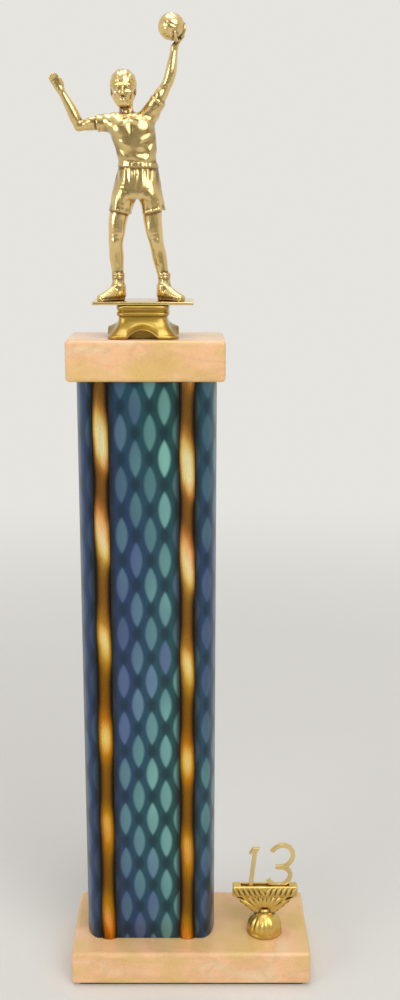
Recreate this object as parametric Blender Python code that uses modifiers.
"""A single-column sports trophy: marble base, film-covered column, marble cap, riser and player figure,
all clamped on one threaded rod, with a screwed-on year trim beside the column.

Frame: metres, +Z up, +X to the viewer's right, the front faces -Y.
The origin is the middle of the base's underside.
"""

import math

import bmesh
import bpy
from mathutils import Matrix, Vector

MM = 0.001
GAP = 0.3 * MM  # left between pieces that rest on each other

# Base and felt
BASE_WIDTH = 152.4 * MM
BASE_DEPTH = 72 * MM
BASE_THICK = 22 * MM
STONE_EDGE = 2.2 * MM
FELT_THICK = 1.2 * MM
FELT_INSET = 2.5 * MM
FELT_CORNER = 4 * MM

# Column and its gold strips
COLUMN_X = -26.4 * MM
COLUMN_WIDTH = 83 * MM
COLUMN_DEPTH = 38 * MM
COLUMN_HEIGHT = 363 * MM
COLUMN_FLAT_HALF = 33 * MM  # the front is flat this far each way; the ends are half ellipses
COLUMN_WALL = 2.6 * MM
STRIP_OFFSET = 25.3 * MM  # from the strips' middle line to each strip
STRIP_MIDDLE = -1.4 * MM  # the strips sit this far off the column's own middle
STRIP_WIDTH = 9 * MM
STRIP_CROWN = 1.7 * MM  # how far a strip stands out of the column's face
CHANNEL_WIDTH = 9.8 * MM
CHANNEL_DEPTH = 1.2 * MM
COLUMN_END_STEPS = 18

# Cap
CAP_WIDTH = 92 * MM
CAP_DEPTH = 48 * MM
CAP_THICK = 24 * MM

# Rod and its fasteners
ROD_X = -28 * MM
ROD_RADIUS = 3.175 * MM
ROD_HOLE_RADIUS = 4 * MM
ROD_NUT_FLATS = 11.1 * MM
ROD_NUT_THICK = 5.5 * MM
ROD_WASHER_RADIUS = 9 * MM
ROD_WASHER_THICK = 1.6 * MM
ROD_RECESS_RADIUS = 10.5 * MM
ROD_RECESS_DEPTH = 11 * MM

# Riser and the figure's plate
RISER_HEIGHT = 18.4 * MM
RISER_TOP_HALF = 15.3 * MM
RISER_WAIST_HALF = 14.2 * MM
RISER_FOOT_HALF = 20.6 * MM
RISER_SKIRT_HALF = 12.6 * MM  # the plain inner wall that closes the arches between the feet
RISER_WALL = 1.6 * MM
RISER_MOUTH_RADIUS = 8.2 * MM
RISER_SIDES = 40
RISER_CORNER_POWER = 6
RISER_ARCH = 5 * MM  # rise of each bottom edge between the corner feet
RISER_ARCH_HALF = 9 * MM
PLATE_WIDTH = 58.4 * MM
PLATE_DEPTH = 28 * MM
PLATE_THICK = 1.8 * MM
BOSS_RADIUS = 7.7 * MM
BOSS_LENGTH = 9 * MM
NUT_POCKET_DEPTH = 7 * MM

# Year trim
TRIM_X = 47.9 * MM
TRIM_Y = -10 * MM
TRIM_FOOT_RADIUS = 11.5 * MM
TRIM_FOOT_HEIGHT = 15 * MM
TRIM_BAR_WIDTH = 42 * MM
TRIM_BAR_DEPTH = 8 * MM
TRIM_BAR_THICK = 7.2 * MM
TRIM_BAR_LIFT = 26 * MM  # underside of the bar above the base
GROOVE_LENGTH = 31 * MM  # along the top of the bar, where the numerals stand
GROOVE_DEPTH = 2 * MM
TRIM_LOBES = 12
TRIM_LOBE_DEPTH = 0.55 * MM
ONE_HEIGHT = 28.4 * MM
THREE_HEIGHT = 31.4 * MM
THREE_UPPER_SHARE = 0.54  # of the height of the two bowls
THREE_BOWL = 7.2 * MM  # half width of both bowls, along the middle of the stroke
NUMERAL_STROKE = 2.8 * MM
NUMERAL_DEPTH = 2.6 * MM
NUMERAL_LEAN = math.radians(6)
TAB_WIDTH = 5 * MM
TAB_LENGTH = 3 * MM
STUD_RADIUS = 2.4 * MM
STUD_HOLE_RADIUS = 2.9 * MM
STUD_NUT_FLATS = 9 * MM
STUD_NUT_THICK = 3.6 * MM
STUD_WASHER_RADIUS = 6.5 * MM
STUD_WASHER_THICK = 1.2 * MM
STUD_RECESS_RADIUS = 8 * MM
STUD_RECESS_DEPTH = 8 * MM

# Heights of the stack, bottom to top
BASE_BOTTOM = FELT_THICK + GAP
BASE_TOP = BASE_BOTTOM + BASE_THICK
COLUMN_BOTTOM = BASE_TOP + GAP
COLUMN_TOP = COLUMN_BOTTOM + COLUMN_HEIGHT
CAP_BOTTOM = COLUMN_TOP + GAP
CAP_TOP = CAP_BOTTOM + CAP_THICK
RISER_BOTTOM = CAP_TOP + GAP
RISER_TOP = RISER_BOTTOM + RISER_HEIGHT
PLATE_BOTTOM = RISER_TOP + GAP
PLATE_TOP = PLATE_BOTTOM + PLATE_THICK

# Figure
FIGURE_VOXEL = 0.62 * MM
FIGURE_KEEP = 0.085  # share of the faces that the decimation keeps
LIMB_SIDES = 20
LIMB_RINGS = 14
BALL_RADIUS = 7.4 * MM
FIGURE_OFFSET = 1 * MM  # the player stands this far right of the plate's middle

MARBLE = ("marble", (0.80, 0.60, 0.40), 0.35, 0.0)
GOLD = ("gold_plated_plastic", (0.83, 0.60, 0.20), 0.18, 1.0)
FILM = ("prismatic_film", (0.10, 0.25, 0.32), 0.25, 0.6)
STEEL = ("zinc_plated_steel", (0.60, 0.60, 0.62), 0.35, 1.0)
FELT = ("green_felt", (0.03, 0.10, 0.05), 0.95, 0.0)


def clear_scene():
    for obj in list(bpy.data.objects):
        bpy.data.objects.remove(obj, do_unlink=True)


def new_collection(name):
    collection = bpy.data.collections.new(name)
    bpy.context.scene.collection.children.link(collection)
    return collection


def material_of(finish):
    name, colour, roughness, metallic = finish
    material = bpy.data.materials.get(name)
    if material is None:
        material = bpy.data.materials.new(name)
        material.use_nodes = True
        shader = material.node_tree.nodes["Principled BSDF"]
        shader.inputs["Base Color"].default_value = (*colour, 1)
        shader.inputs["Roughness"].default_value = roughness
        shader.inputs["Metallic"].default_value = metallic
    return material


def add_part(name, data, finish):
    obj = bpy.data.objects.new(name, data)
    data.materials.append(material_of(finish))
    PARTS.objects.link(obj)
    return obj


def add_helper(name, data):
    """A cutter, or a shape that a Boolean joins to a part."""
    obj = bpy.data.objects.new(name, data)
    obj.hide_render = True
    obj.display_type = "WIRE"
    CUTTERS.objects.link(obj)
    return obj


def combine(obj, other, operation):
    modifier = obj.modifiers.new(other.name, "BOOLEAN")
    modifier.operation = operation
    modifier.solver = "EXACT"
    modifier.object = other


def block_mesh(name, width, depth, height):
    """A box from z = 0 up to its height."""
    shape = bmesh.new()
    bmesh.ops.create_cube(shape, size=1)
    bmesh.ops.scale(shape, verts=shape.verts, vec=(width, depth, height))
    bmesh.ops.translate(shape, verts=shape.verts, vec=(0, 0, height / 2))
    return finished_mesh(name, shape)


def rod_mesh(name, radius, length, sides=28):
    """A round bar from z = 0 up to its length."""
    shape = bmesh.new()
    bmesh.ops.create_cone(
        shape, cap_ends=True, segments=sides, radius1=radius, radius2=radius, depth=length
    )
    bmesh.ops.translate(shape, verts=shape.verts, vec=(0, 0, length / 2))
    return finished_mesh(name, shape)


def finished_mesh(name, shape, angle=40):
    mesh = bpy.data.meshes.new(name)
    shape.to_mesh(mesh)
    shape.free()
    mesh.shade_smooth()
    mesh.set_sharp_from_angle(angle=math.radians(angle))
    return mesh


def round_edges(obj, width, segments=3):
    bevel = obj.modifiers.new("edges", "BEVEL")
    bevel.width = width
    bevel.segments = segments
    bevel.limit_method = "ANGLE"
    bevel.angle_limit = math.radians(50)


def circle(radius, sides=32, centre=(0, 0)):
    turns = [2 * math.pi * i / sides for i in range(sides)]
    return [(centre[0] + radius * math.cos(t), centre[1] + radius * math.sin(t)) for t in turns]


def hexagon(flats):
    return circle(flats / math.sqrt(3), sides=6)


def arc(centre, radius, start, end, steps, rise=None):
    """Points of an arc, angles in degrees. Where a rise is given, it is the radius along the second axis."""
    turns = [math.radians(start + (end - start) * i / steps) for i in range(steps + 1)]
    rise = radius if rise is None else rise
    return [(centre[0] + radius * math.cos(t), centre[1] + rise * math.sin(t)) for t in turns]


def rounded_rectangle(width, depth, corner, steps=8):
    x, y = width / 2 - corner, depth / 2 - corner
    outline = []
    for start, (cx, cy) in zip((0, 90, 180, 270), ((x, y), (-x, y), (-x, -y), (x, -y))):
        outline += arc((cx, cy), corner, start, start + 90, steps)
    return outline


def flat_curve(name, outlines, thickness):
    """Closed outlines as a flat filled curve; an outline inside another is a hole. It lies on z = 0."""
    data = bpy.data.curves.new(name, "CURVE")
    data.dimensions = "2D"
    data.fill_mode = "BOTH"
    data.extrude = thickness / 2
    for outline in outlines:
        spline = data.splines.new("POLY")
        spline.points.add(len(outline) - 1)
        for point, (x, y) in zip(spline.points, outline):
            point.co = (x, y, 0, 1)
        spline.use_cyclic_u = True
    return data


def flat_mesh(name, outlines, thickness):
    """The same shape as a welded mesh, centred on z = 0."""
    curve = bpy.data.objects.new(name + "_outline", flat_curve(name, outlines, thickness))
    CUTTERS.objects.link(curve)
    bpy.context.view_layer.update()
    evaluated = curve.evaluated_get(bpy.context.evaluated_depsgraph_get())
    made = bpy.data.meshes.new_from_object(evaluated)
    bpy.data.objects.remove(curve, do_unlink=True)
    made.materials.clear()
    shape = bmesh.new()
    shape.from_mesh(made)
    bpy.data.meshes.remove(made)
    bmesh.ops.remove_doubles(shape, verts=shape.verts, dist=0.005 * MM)
    bmesh.ops.recalc_face_normals(shape, faces=shape.faces)
    return finished_mesh(name, shape)


def plate_part(name, outlines, thickness, bottom, finish, place=(0, 0)):
    part = add_part(name, flat_mesh(name, outlines, thickness), finish)
    part.location = (*place, bottom + thickness / 2)
    return part


def drill(obj, place, radius, bottom, top):
    """A round hole through obj between two heights, in the object's own frame."""
    name = f"{obj.name}_hole_{len(obj.modifiers)}"
    cutter = add_helper(name, rod_mesh(name, radius, top - bottom))
    cutter.location = (*place, bottom)
    combine(obj, cutter, "DIFFERENCE")


def build_base():
    inner = (BASE_WIDTH - 2 * FELT_INSET, BASE_DEPTH - 2 * FELT_INSET)
    outlines = [
        rounded_rectangle(*inner, FELT_CORNER, steps=5),
        circle(ROD_RECESS_RADIUS, centre=(ROD_X, 0)),
        circle(STUD_RECESS_RADIUS, centre=(TRIM_X, TRIM_Y)),
    ]
    plate_part("base_felt", outlines, FELT_THICK, 0, FELT)

    base = add_part("marble_base", block_mesh("marble_base", BASE_WIDTH, BASE_DEPTH, BASE_THICK), MARBLE)
    base.location.z = BASE_BOTTOM
    round_edges(base, STONE_EDGE)
    below, above = BASE_BOTTOM - 2 * MM, BASE_TOP + 2 * MM
    drill(base, (ROD_X, 0), ROD_HOLE_RADIUS, below, above)
    drill(base, (ROD_X, 0), ROD_RECESS_RADIUS, below, BASE_BOTTOM + ROD_RECESS_DEPTH)
    drill(base, (TRIM_X, TRIM_Y), STUD_HOLE_RADIUS, below, above)
    drill(base, (TRIM_X, TRIM_Y), STUD_RECESS_RADIUS, below, BASE_BOTTOM + STUD_RECESS_DEPTH)


def washer_and_nut(prefix, place, recess_depth, radius, washer, nut):
    """A washer against the roof of a recess in the base, and the nut below it."""
    washer_radius, washer_thick = washer
    nut_flats, nut_thick = nut
    hole = circle(radius + GAP)
    washer_bottom = BASE_BOTTOM + recess_depth - GAP - washer_thick
    plate_part(f"{prefix}_washer", [circle(washer_radius), hole], washer_thick, washer_bottom, STEEL, place)
    nut_bottom = washer_bottom - GAP - nut_thick
    plate_part(f"{prefix}_nut", [hexagon(nut_flats), hole], nut_thick, nut_bottom, STEEL, place)
    return nut_bottom


def build_rod():
    place = (ROD_X, 0)
    nut_bottom = washer_and_nut(
        "rod",
        place,
        ROD_RECESS_DEPTH,
        ROD_RADIUS,
        (ROD_WASHER_RADIUS, ROD_WASHER_THICK),
        (ROD_NUT_FLATS, ROD_NUT_THICK),
    )
    pocket_roof = PLATE_BOTTOM - BOSS_LENGTH + NUT_POCKET_DEPTH
    top = pocket_roof - GAP
    rod_bottom = nut_bottom - 1 * MM
    rod = add_part("threaded_rod", rod_mesh("threaded_rod", ROD_RADIUS, top - rod_bottom), STEEL)
    rod.location = (*place, rod_bottom)
    round_edges(rod, 0.6 * MM, segments=1)
    hole = circle(ROD_RADIUS + GAP)
    nut_outline = [hexagon(ROD_NUT_FLATS), hole]
    plate_part("figure_nut", nut_outline, ROD_NUT_THICK, top - ROD_NUT_THICK, STEEL, place)


def column_outline(width, depth, channel_depth, lip_spread, floor_spread):
    """Flat front and back with half-ellipse ends, and two channels in the front and two in the back.

    The column's inner outline has the same count of points: its channels have no depth, and their
    points spread sideways, so that no two coincide.
    """
    front = -depth / 2
    half = CHANNEL_WIDTH / 2
    channels = []
    for side in (-1, 1):
        middle = STRIP_MIDDLE + side * STRIP_OFFSET
        low, high = middle - half, middle + half
        floor = front + channel_depth
        channels += [(low - lip_spread, front), (low - floor_spread, floor)]
        channels += [(high + floor_spread, floor), (high + lip_spread, front)]
    back_channels = [(-x, -y) for x, y in channels]
    turns = [math.radians(180 * k / COLUMN_END_STEPS - 90) for k in range(COLUMN_END_STEPS + 1)]
    reach = width / 2 - COLUMN_FLAT_HALF
    right = [(COLUMN_FLAT_HALF + reach * math.cos(t), depth / 2 * math.sin(t)) for t in turns]
    left = [(-x, -y) for x, y in right]
    return right + back_channels + left + channels


def skin_rings(shape, rings):
    """Faces between each ring of vertices and the next; they face out where the rings rise anticlockwise."""
    for low, high in zip(rings, rings[1:]):
        for i in range(len(low)):
            j = (i + 1) % len(low)
            shape.faces.new((low[i], low[j], high[j], high[i]))


def close_ends(shape, rings):
    shape.faces.new(rings[0][::-1])
    shape.faces.new(rings[-1])


def tube_mesh(name, outer, inner, height):
    """A straight tube from z = 0 up, between two outlines with the same count of points."""
    shape = bmesh.new()
    section = ((outer, 0), (outer, height), (inner, height), (inner, 0))
    rings = [[shape.verts.new((x, y, z)) for x, y in outline] for outline, z in section]
    skin_rings(shape, [*rings, rings[0]])
    return finished_mesh(name, shape)


def build_column():
    outer = column_outline(COLUMN_WIDTH, COLUMN_DEPTH, CHANNEL_DEPTH, 0, 0)
    inner = column_outline(
        COLUMN_WIDTH - 2 * COLUMN_WALL,
        COLUMN_DEPTH - 2 * COLUMN_WALL,
        0,
        1.0 * MM,
        0.2 * MM,
    )
    shell = add_part("column_shell", tube_mesh("column_shell", outer, inner, COLUMN_HEIGHT), FILM)
    shell.location = (COLUMN_X, 0, COLUMN_BOTTOM)

    half = STRIP_WIDTH / 2
    seat = CHANNEL_DEPTH - GAP
    bow = (half**2 + STRIP_CROWN**2) / (2 * STRIP_CROWN)
    spread = math.degrees(math.asin(half / bow))
    crown = arc((0, STRIP_CROWN - bow), bow, 90 - spread, 90 + spread, 8)
    section = crown + [(-half, -seat), (half, -seat)]
    for face, turn in (("front", math.pi), ("back", 0)):
        for side, way in (("left", -1), ("right", 1)):
            name = f"gold_strip_{face}_{side}"
            strip = plate_part(name, [section], COLUMN_HEIGHT, COLUMN_BOTTOM, GOLD)
            facing = -1 if face == "front" else 1
            strip.location.x = COLUMN_X - facing * STRIP_MIDDLE + way * STRIP_OFFSET
            strip.location.y = facing * COLUMN_DEPTH / 2
            strip.rotation_euler.z = turn


def build_cap():
    cap = add_part("marble_cap", block_mesh("marble_cap", CAP_WIDTH, CAP_DEPTH, CAP_THICK), MARBLE)
    cap.location = (COLUMN_X, 0, CAP_BOTTOM)
    round_edges(cap, STONE_EDGE)
    drill(cap, (ROD_X, 0), ROD_HOLE_RADIUS, CAP_BOTTOM - 2 * MM, CAP_TOP + 2 * MM)


def squircle(half, power, sides):
    """A square section with eased corners: the higher the power, the sharper the corners."""
    points = []
    for i in range(sides):
        turn = 2 * math.pi * i / sides
        c, s = math.cos(turn), math.sin(turn)
        reach = half / (abs(c) ** power + abs(s) ** power) ** (1 / power)
        points.append((reach * c, reach * s))
    return points


def build_riser():
    """A hollow pedestal: a collar, a bead and a waist over a foot that flares out to four corners.

    Each bottom edge rises in an arch between the feet, and a plain skirt inside closes the arches.
    """
    flare = [
        (0.00, RISER_FOOT_HALF),
        (0.07, RISER_FOOT_HALF),
        (0.10, RISER_FOOT_HALF - 0.5 * MM),
        (0.18, RISER_WAIST_HALF + 4.0 * MM),
        (0.30, RISER_WAIST_HALF + 2.0 * MM),
        (0.44, RISER_WAIST_HALF + 0.6 * MM),
    ]
    stem = [
        (0.58, RISER_WAIST_HALF),
        (0.65, RISER_WAIST_HALF),
        (0.68, RISER_WAIST_HALF + 0.8 * MM),
        (0.73, RISER_WAIST_HALF + 1.1 * MM),
        (0.78, RISER_WAIST_HALF + 0.8 * MM),
        (0.82, RISER_WAIST_HALF + 0.2 * MM),
        (0.87, RISER_TOP_HALF - 0.2 * MM),
        (0.97, RISER_TOP_HALF),
        (1.00, RISER_TOP_HALF - 0.6 * MM),
    ]
    roof = 1 - RISER_WALL / RISER_HEIGHT
    skirt = [
        (roof, RISER_SKIRT_HALF - RISER_WALL),
        (0.00, RISER_SKIRT_HALF - RISER_WALL),
        (0.00, RISER_SKIRT_HALF),
        (0.40, RISER_SKIRT_HALF),
    ]
    inside = [(share, half - RISER_WALL) for share, half in flare[4::-1]]
    shape = bmesh.new()

    def ring(share, half, arched):
        points = []
        for x, y in squircle(half, RISER_CORNER_POWER, RISER_SIDES):
            off_middle = min(abs(x), abs(y)) / RISER_ARCH_HALF
            lift = RISER_ARCH * max(0, 1 - off_middle**2) * max(0, 1 - share / 0.5)
            points.append(shape.verts.new((x, y, share * RISER_HEIGHT + arched * lift)))
        return points

    outer = [ring(share, half, True) for share, half in flare + stem]
    mouth_outline = circle(RISER_MOUTH_RADIUS, RISER_SIDES)
    mouth = [
        [shape.verts.new((x, y, share * RISER_HEIGHT)) for x, y in mouth_outline] for share in (1, roof)
    ]
    inner = [ring(share, half, False) for share, half in skirt]
    under_flare = [ring(share, half, True) for share, half in inside]
    skin_rings(shape, [*outer, *mouth, *inner, *under_flare, outer[0]])
    riser = add_part("figure_riser", finished_mesh("figure_riser", shape), GOLD)
    riser.location = (ROD_X, 0, RISER_BOTTOM)


def through(points, count):
    """A smooth run of count points through control points of any length: Catmull-Rom."""
    ends = [points[0], *points, points[-1]]
    run = []
    for k in range(count):
        place = (len(points) - 1) * k / (count - 1)
        i = min(int(place), len(points) - 2)
        t = place - i
        around = zip(*ends[i : i + 4])
        run.append(
            [
                0.5 * (2 * b + (c - a) * t + (2 * a - 5 * b + 4 * c - d) * t**2)
                + 0.5 * (3 * b - a - 3 * c + d) * t**3
                for a, b, c, d in around
            ]
        )
    return run


def add_limb(shape, points, front=(0, -1, 0), hemmed=False):
    """A limb along points of (x, y, z, half width, half depth), in millimetres.

    Its ends are round, or cut square where it is a hemmed piece of clothing.
    """
    run = through(points, LIMB_RINGS)
    middles = [Vector(p[:3]) for p in run]
    rings = []
    for k, point in enumerate(run):
        along = (middles[min(k + 1, len(run) - 1)] - middles[max(k - 1, 0)]).normalized()
        side = along.cross(Vector(front)).normalized()
        rings.append((middles[k], along, side, side.cross(along), point[3], point[4]))
    stations = [(ring, 1, 0) for ring in rings]
    if not hemmed:
        dome = [(share, math.sqrt(1 - share**2)) for share in (0.35, 0.7, 0.92)]
        stations = [(rings[0], share, -reach) for share, reach in dome] + stations
        stations += [(rings[-1], share, reach) for share, reach in dome[::-1]]
    loops = []
    for (middle, along, side, deep, wide, thick), share, reach in stations:
        centre = middle + along * reach * min(wide, thick)
        loop = []
        for i in range(LIMB_SIDES):
            turn = 2 * math.pi * i / LIMB_SIDES
            spot = centre + side * wide * share * math.cos(turn) + deep * thick * share * math.sin(turn)
            loop.append(shape.verts.new(spot * MM))
        loops.append(loop)
    skin_rings(shape, loops)
    close_ends(shape, loops)


def add_lump(shape, centre, radii, lean=0.0):
    """An ellipsoid, in millimetres, leaning about the Y axis by an angle in degrees."""
    place = Matrix.Translation(Vector(centre) * MM) @ Matrix.Rotation(math.radians(lean), 4, "Y")
    scale = Matrix.Diagonal((*(r * MM for r in radii), 1))
    bmesh.ops.create_uvsphere(shape, u_segments=24, v_segments=16, radius=1, matrix=place @ scale)


def build_figure():
    """The player, the ball and the plate underfoot are one moulding. Millimetres from between the feet."""
    shape = bmesh.new()
    trunk = [
        (-3.8, 0.3, 63, 13.0, 8.8),
        (-3.5, 0.2, 69, 11.4, 8.0),
        (-3.3, 0, 76, 10.2, 7.3),
        (-4.8, -0.4, 86, 12.2, 8.4),
        (-6.4, -0.2, 94.5, 12.8, 8.6),
        (-8.2, 0.6, 100.2, 10.4, 6.6),
    ]
    add_limb(shape, trunk)
    add_limb(shape, [(-8.8, 0.8, 101, 6.0, 5.6), (-9.8, 0.6, 106, 4.2, 4.6), (-10.8, 0, 112, 4.1, 4.6)])
    add_lump(shape, (-10.8, -4.4, 95.2), (6.6, 3.4, 4.8))
    add_lump(shape, (-2.4, -4.4, 96), (6.6, 3.4, 4.8))
    add_lump(shape, (-11.2, -0.6, 118), (6.9, 8.0, 9.2))
    add_lump(shape, (-11.2, -2.8, 112.4), (5.3, 5.2, 5.6))
    add_lump(shape, (-11.2, 1.0, 119.6), (7.4, 8.2, 8.0))
    add_lump(shape, (-11.2, -7.9, 116.4), (1.3, 1.4, 2.2))
    for ear in (-18.0, -4.4):
        add_lump(shape, (ear, 0.5, 115.8), (1.0, 1.8, 2.6))

    right_arm = [
        (-17, 0.4, 98.6, 4.6, 5.0),
        (-22, 1, 98.5, 4.0, 4.3),
        (-29, 2, 98, 3, 3.1),
        (-36.4, 3, 97.4, 2.8, 2.9),
    ]
    add_limb(shape, right_arm)
    add_limb(shape, [(-36.4, 3, 97.6, 2.8, 2.9), (-40.2, 2, 105, 3.0, 3.1), (-46.6, 0, 116.8, 2.2, 2.2)])
    open_hand = [(-46.6, 0, 116.8, 2.3, 1.8), (-48.9, -0.8, 121, 3.0, 1.6), (-50.8, -1.4, 124.2, 2.6, 1.3)]
    add_limb(shape, open_hand)
    thumb = [(-45.4, -0.6, 118.4, 1.3, 1.2), (-45.6, -1.6, 121.2, 1.0, 1.0), (-46.6, -2.4, 123, 0.8, 0.8)]
    add_limb(shape, thumb)
    left_arm = [(2.4, 0.4, 101.5, 5.0, 5.0), (8.2, -0.6, 110.6, 4.1, 4.2), (13.9, -1.6, 120.4, 3.1, 3.2)]
    add_limb(shape, left_arm)
    add_limb(shape, [(13.9, -1.6, 120, 3.0, 3.1), (15.9, -2, 127.4, 3.0, 3.1), (17.4, -1.4, 138.8, 2.2, 2.2)])
    ball_hand = [(17.4, -1.4, 138.8, 2.3, 2.0), (19.2, -3.2, 143.4, 2.5, 2.2), (20.2, -6.4, 148.4, 1.9, 1.7)]
    add_limb(shape, ball_hand)
    add_lump(shape, (15.8, -3, 149.2), (BALL_RADIUS / MM,) * 3)

    right_sleeve = [(-13, 0.2, 98.2, 5.6, 6.0), (-18, 0.5, 98.8, 5.4, 5.8), (-26, 1.4, 98.5, 4.8, 5.0)]
    left_sleeve = [(-0.6, 0.3, 98.6, 5.8, 6.0), (2.4, 0.4, 102, 5.6, 5.8), (8.4, -0.6, 111, 4.8, 5.1)]
    waistband = [(-3.3, 0, 75.9, 11.1, 8.2), (-3.4, 0, 78.5, 10.9, 8.0)]
    for clothing in (right_sleeve, left_sleeve, waistband):
        add_limb(shape, clothing, hemmed=True)

    for way, hip, thigh, knee, calf, ankle in (
        (-1, -10.7, -15.1, -16.5, -16.3, -15.5),
        (1, 2.6, 4.7, 6.8, 8.5, 11.1),
    ):
        shorts = [
            (hip - way * 1.2, 0.2, 68, 4.6, 6.6),
            (hip, 0.2, 61, 6.8, 8.8),
            (hip + way * 1.8, 0, 56, 6.8, 8.2),
            (hip + way * 2.9, -0.2, 50, 6.5, 7.4),
        ]
        add_limb(shape, shorts, hemmed=True)
        leg = [
            (hip + way * 1.8, 0, 56, 5.8, 7.0),
            (thigh, -0.4, 46, 5.3, 5.8),
            (knee, -1, 33, 4.2, 4.3),
            (calf, 0.8, 25, 4.2, 4.4),
            (ankle, 0.8, 11, 3.0, 3.2),
        ]
        add_limb(shape, leg)
        add_limb(shape, [(ankle, 0.8, 16, 3.9, 4.0), (ankle, 0.8, 13.4, 3.9, 4.0)], hemmed=True)
        add_limb(shape, [(ankle, 0.8, 15, 3.5, 3.6), (ankle, 0.8, 11.5, 3.6, 3.8), (ankle, 0.6, 7, 3.8, 4.2)])
        shoe = [
            (ankle - way * 1.4, 2.2, 3.4, 3.3, 3.4),
            (ankle + way * 1.6, -0.6, 4.4, 3.7, 4.4),
            (ankle + way * 6, -4.6, 3.0, 3.8, 3.2),
            (ankle + way * 9.8, -7.8, 1.8, 3.1, 1.9),
        ]
        add_limb(shape, shoe, front=(0, 0, 1))

    figure = add_part("player_figure", finished_mesh("player_figure", shape), GOLD)
    figure.location = (ROD_X + FIGURE_OFFSET, 0, PLATE_TOP)
    fuse = figure.modifiers.new("one_skin", "REMESH")
    fuse.mode = "VOXEL"
    fuse.voxel_size = FIGURE_VOXEL
    fuse.use_smooth_shade = True
    ease = figure.modifiers.new("ease", "SMOOTH")
    ease.factor = 0.5
    ease.iterations = 3
    thin = figure.modifiers.new("fewer_faces", "DECIMATE")
    thin.ratio = FIGURE_KEEP

    plate = add_helper("figure_plate", block_mesh("figure_plate", PLATE_WIDTH, PLATE_DEPTH, PLATE_THICK))
    plate.location = (ROD_X, 0, PLATE_BOTTOM)
    round_edges(plate, 0.5 * MM, segments=2)
    combine(figure, plate, "UNION")
    boss = add_helper("figure_boss", rod_mesh("figure_boss", BOSS_RADIUS, BOSS_LENGTH + PLATE_THICK / 2))
    boss.location = (ROD_X, 0, PLATE_BOTTOM - BOSS_LENGTH)
    combine(figure, boss, "UNION")
    pocket_outline = [hexagon(ROD_NUT_FLATS + 2 * GAP)]
    pocket = add_helper("nut_pocket", flat_mesh("nut_pocket", pocket_outline, 2 * NUT_POCKET_DEPTH))
    pocket.location = (ROD_X, 0, PLATE_BOTTOM - BOSS_LENGTH)
    combine(figure, pocket, "DIFFERENCE")


def leaned(outline):
    """Slants what stands above the bar; the tab below stays upright."""
    return [(x + max(y, 0) * math.tan(NUMERAL_LEAN), y) for x, y in outline]


def numeral_one():
    """A stem with a wedge at its head and a tab below that plugs into the bar."""
    half, tall, tab = NUMERAL_STROKE / 2, ONE_HEIGHT, TAB_WIDTH / 2
    return [
        (-tab, 0),
        (-tab, -TAB_LENGTH),
        (tab, -TAB_LENGTH),
        (tab, 0),
        (half, 1.5 * MM),
        (half, tall - 3.5 * MM),
        (half + 1.6 * MM, tall),
        (-half - 0.4 * MM, tall),
        (-half - 2.2 * MM, tall - 3.6 * MM),
        (-half - 1.6 * MM, tall - 4.8 * MM),
        (-half, tall - 4.0 * MM),
        (-half, 1.5 * MM),
    ]


def numeral_three():
    """Two bowls that meet in a short middle bar, on a tab that plugs into the bar below."""
    half, tall, tab = NUMERAL_STROKE / 2, THREE_HEIGHT, TAB_WIDTH / 2
    both = (tall - 2 * half) / 2
    upper = THREE_UPPER_SHARE * both
    lower = both - upper
    high, low = tall - half - upper, half + lower
    middle = half + 2 * lower
    outer, inner = THREE_BOWL + half, THREE_BOWL - half
    # The bowls are equally wide, so their outer edges cross at the same angle above and below the crossing.
    crossing = math.degrees(math.asin((high - low) / (upper + lower + 2 * half)))
    tab_turn = math.degrees(math.acos(tab / outer))
    return [
        *arc((0, high), outer, 155, -crossing, 16, upper + half),
        *arc((0, low), outer, crossing, -tab_turn, 12, lower + half)[1:],
        (tab, -TAB_LENGTH),
        (-tab, -TAB_LENGTH),
        *arc((0, low), outer, tab_turn - 180, -158, 4, lower + half),
        *arc((0, low), inner, -158, 90, 16, lower - half),
        (-3 * MM, middle - 0.8 * half),
        (-3 * MM, middle + 0.8 * half),
        *arc((0, high), inner, -90, 155, 16, upper - half),
    ]


def stand_up(obj):
    """Turns a shape drawn in X and Y so that it stands, facing the front."""
    obj.rotation_euler.x = math.pi / 2


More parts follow.
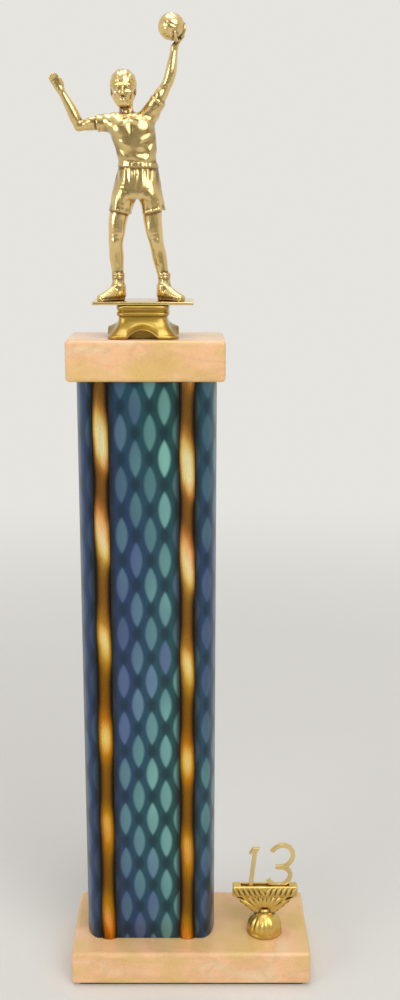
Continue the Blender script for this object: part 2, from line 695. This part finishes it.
def build_trim():
    base = BASE_TOP + GAP
    bar_bottom = base + TRIM_BAR_LIFT
    bar_top = bar_bottom + TRIM_BAR_THICK

    holder = add_part("trim_holder", foot_mesh("trim_holder"), GOLD)
    holder.location = (TRIM_X, TRIM_Y, base)
    spray = add_helper("trim_spray", spray_mesh("trim_spray"))
    spray.location = (TRIM_X, TRIM_Y, base)
    combine(holder, spray, "UNION")
    bar_outline = [bar_shape()]
    bar = add_helper("trim_bar", flat_mesh("trim_bar", bar_outline, TRIM_BAR_THICK))
    bar.location = (TRIM_X, TRIM_Y, bar_bottom + TRIM_BAR_THICK / 2)
    combine(holder, bar, "UNION")

    stud_top = base + TRIM_FOOT_HEIGHT - 6 * MM
    drill(holder, (TRIM_X, TRIM_Y), STUD_HOLE_RADIUS, base - 2 * MM, stud_top)
    groove_floor = bar_top - GROOVE_DEPTH
    across = NUMERAL_DEPTH + 2 * GAP
    groove = add_helper("trim_groove", block_mesh("trim_groove", GROOVE_LENGTH, across, 2 * GROOVE_DEPTH))
    groove.location = (TRIM_X, TRIM_Y, groove_floor)
    combine(holder, groove, "DIFFERENCE")

    for name, outline, offset in (
        ("numeral_one", numeral_one(), -9.4 * MM),
        ("numeral_three", numeral_three(), 8.2 * MM),
    ):
        numeral = add_part(name, flat_mesh(name, [leaned(outline)], NUMERAL_DEPTH), GOLD)
        numeral.location = (TRIM_X + offset, TRIM_Y, groove_floor + GAP)
        stand_up(numeral)
        size = (TAB_WIDTH + 2 * GAP, across - 0.2 * MM, TAB_LENGTH + 1 * MM)
        slot = add_helper(f"{name}_slot", block_mesh(f"{name}_slot", *size))
        slot.location = (TRIM_X + offset, TRIM_Y, groove_floor - TAB_LENGTH)
        combine(holder, slot, "DIFFERENCE")

    place = (TRIM_X, TRIM_Y)
    nut_bottom = washer_and_nut(
        "trim",
        place,
        STUD_RECESS_DEPTH,
        STUD_RADIUS,
        (STUD_WASHER_RADIUS, STUD_WASHER_THICK),
        (STUD_NUT_FLATS, STUD_NUT_THICK),
    )
    stud_bottom = nut_bottom - 1 * MM
    stud = add_part("trim_stud", rod_mesh("trim_stud", STUD_RADIUS, stud_top - GAP - stud_bottom), STEEL)
    stud.location = (*place, stud_bottom)
    round_edges(stud, 0.4 * MM, segments=1)


def foot_mesh(name):
    """A dome of upright lobes over a plain rim, with a collar on top."""
    radius = TRIM_FOOT_RADIUS
    profile = [(0, radius - 0.6 * MM, 0), (0.6 * MM, radius, 0), (2 * MM, radius, 0)]
    rise = TRIM_FOOT_HEIGHT - 3 * MM
    for turn in map(math.radians, range(0, 76, 15)):
        across = (radius - 0.5 * MM) * math.cos(turn)
        profile.append((3 * MM + rise * math.sin(turn), across, TRIM_LOBE_DEPTH * math.cos(turn)))
    collar = 3.6 * MM
    top = TRIM_FOOT_HEIGHT
    profile += [(top - 0.2 * MM, collar, 0), (top + 0.6 * MM, collar, 0)]
    profile.append((top + 1.6 * MM, collar - 1 * MM, 0))
    sides = 4 * TRIM_LOBES
    shape = bmesh.new()
    rings = []
    for z, across, lobe in profile:
        ring = []
        for i in range(sides):
            turn = 2 * math.pi * i / sides
            reach = across + lobe * (abs(math.cos(TRIM_LOBES / 2 * turn)) - 0.6)
            ring.append(shape.verts.new((reach * math.cos(turn), reach * math.sin(turn), z)))
        rings.append(ring)
    skin_rings(shape, rings)
    close_ends(shape, rings)
    return finished_mesh(name, shape)


def spray_mesh(name):
    """Feathers that spread from the collar to the bar: a ridge to each tip, and a valley between two.

    Each ridge or valley is a flat section, out along its front from root to tip and back behind.
    """
    half = [(8.8 + 3.4 * k, 15.2 + 3.3 * k) for k in range(4)] + [(4.5 * k, 27.2) for k in (3, 2, 1)]
    tips = [*half, (0, 27.2), *[(-x, z) for x, z in half[::-1]]]
    ridge = ((0, 0.9), (0.4, 2.1), (0.75, 1.9), (1, 1.2))
    valley = ((0, 0.8), (0.36, 1.2), (0.68, 1.1), (0.9, 0.8))
    lines = [(tips[0], ridge)]
    for (x0, z0), (x1, z1) in zip(tips, tips[1:]):
        lines += [(((x0 + x1) / 2, (z0 + z1) / 2), valley), ((x1, z1), ridge)]
    shape = bmesh.new()
    rings = []
    for (x, z), section in lines:
        root = (0.06 * x, 12.6 + 0.1 * z)
        spine = [(root[0] + s * (x - root[0]), root[1] + s * (z - root[1]), thick) for s, thick in section]
        front = [(x, -thick, z) for x, z, thick in spine]
        back = [(x, thick, z) for x, z, thick in spine[::-1]]
        rings.append([shape.verts.new(Vector(point) * MM) for point in front + back])
    skin_rings(shape, rings)
    close_ends(shape, rings)
    bmesh.ops.recalc_face_normals(shape, faces=shape.faces)
    return finished_mesh(name, shape)


def bar_shape():
    """The bar from above: straight front and back, with round ends."""
    return rounded_rectangle(TRIM_BAR_WIDTH, TRIM_BAR_DEPTH, TRIM_BAR_DEPTH / 2 - 0.4 * MM, steps=6)


clear_scene()
PARTS = new_collection("sports_trophy")
CUTTERS = new_collection("cutters")
build_base()
build_rod()
build_column()
build_cap()
build_riser()
build_figure()
build_trim()
